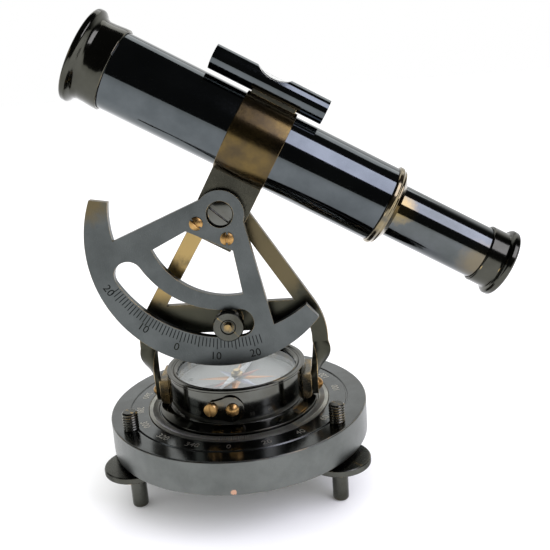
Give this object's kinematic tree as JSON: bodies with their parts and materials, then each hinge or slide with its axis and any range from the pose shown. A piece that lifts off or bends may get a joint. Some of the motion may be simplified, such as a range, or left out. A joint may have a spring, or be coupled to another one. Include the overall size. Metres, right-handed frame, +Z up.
{
  "type": "theodolite",
  "caption": "Desk theodolite: tilting telescope with spirit level and graduated sector on an A-frame over a compass drum, turning on a round base with levelling screws.",
  "frame": {"origin": "on the vertical azimuth axis, at the level that the three feet stand on", "axes": "+Z up; +X through the right lug, towards the eyepiece; -Y is the side that the graduated sector faces"},
  "size_m": [0.1604, 0.106, 0.182],
  "materials": {
    "polished_black": "polished, chemically blackened",
    "satin_gunmetal": "satin gunmetal grey",
    "bronze_patina": "olive brown antique patina",
    "dark_steel": "blackened, lightly oiled",
    "bright_brass": "bare brass",
    "glass": "clear",
    "printed_card": "matte printed",
    "blued_steel": "blued",
    "spirit": "tinted liquid with a bubble"
  },
  "bodies": {
    "base": {"base_plate": "satin_gunmetal", "azimuth_scale_ring": "polished_black", "thrust_washer": "bright_brass"},
    "screw_front_left": {"levelling_screw_front_left": "dark_steel", "levelling_wheel_front_left": "bronze_patina"},
    "screw_front_right": {"levelling_screw_front_right": "dark_steel", "levelling_wheel_front_right": "bronze_patina"},
    "screw_back": {"levelling_screw_back": "dark_steel", "levelling_wheel_back": "bronze_patina"},
    "alidade": {"azimuth_spindle": "dark_steel", "keeper_washer": "dark_steel", "keeper_screw_centre": "dark_steel", "compass_housing": "polished_black", "compass_card": "printed_card", "needle_post": "bright_brass", "glass_seat_ring": "polished_black", "compass_glass": "glass", "glass_keep_ring": "polished_black", "compass_bezel": "polished_black", "left_lug": "bronze_patina", "right_lug": "bronze_patina", "left_lug_screw": "bright_brass", "right_lug_screw": "bright_brass", "cover_plate": "bronze_patina", "slotted_plate_screw": "bright_brass", "domed_plate_screw": "bright_brass", "a_frame": "bronze_patina", "pivot_spacer": "bright_brass", "pivot_screw": "bronze_patina", "pivot_nut": "bronze_patina"},
    "needle": {"compass_needle": "blued_steel", "needle_cap": "bright_brass"},
    "telescope": {"sector_plate": "satin_gunmetal", "bracket": "bronze_patina", "clamp_band": "bronze_patina", "sector_screws": "bright_brass", "main_tube": "polished_black", "objective_cell": "polished_black", "objective_lens": "glass", "lens_keep_ring": "polished_black", "joint_ring": "polished_black", "draw_tube_guide": "polished_black", "level_tube": "polished_black", "level_vial": "glass", "level_bubble": "spirit", "level_end_plugs": "polished_black", "level_saddle": "bronze_patina"},
    "clamp_screw": {"clamp_knob": "bronze_patina", "clamp_stud": "dark_steel"},
    "draw_slide": {"draw_tube": "polished_black", "draw_tube_stop": "bright_brass", "eyepiece_cap": "polished_black", "eye_lens": "glass"}
  },
  "joints": [
    {"name": "azimuth", "type": "hinge", "parent": "base", "child": "alidade", "pos_m": [0, 0, 0.032], "axis": [0, 0, 1], "continuous": true},
    {"name": "tilt", "type": "hinge", "parent": "alidade", "child": "telescope", "pos_m": [0, -0.0043, 0.1085], "axis": [0, 1, 0], "range_deg": [-54, 4]},
    {"name": "focus", "type": "slide", "parent": "telescope", "child": "draw_slide", "axis": [0.866, 0, -0.5], "range_m": [-0.03, 0.004]},
    {"name": "needle_swing", "type": "hinge", "parent": "alidade", "child": "needle", "pos_m": [0, 0, 0.043], "axis": [0, 0, 1], "continuous": true},
    {"name": "clamp_turn", "type": "hinge", "parent": "alidade", "child": "clamp_screw", "pos_m": [0, -0.01, 0.0669], "axis": [0, -1, 0], "range_deg": [-270, 90]},
    {"name": "level_front_left", "type": "hinge", "parent": "base", "child": "screw_front_left", "pos_m": [-0.03828, -0.0221, 0.027], "axis": [0, 0, 1], "continuous": true},
    {"name": "level_front_right", "type": "hinge", "parent": "base", "child": "screw_front_right", "pos_m": [0.03828, -0.0221, 0.027], "axis": [0, 0, 1], "continuous": true},
    {"name": "level_back", "type": "hinge", "parent": "base", "child": "screw_back", "pos_m": [0, 0.0442, 0.027], "axis": [0, 0, 1], "continuous": true}
  ]
}
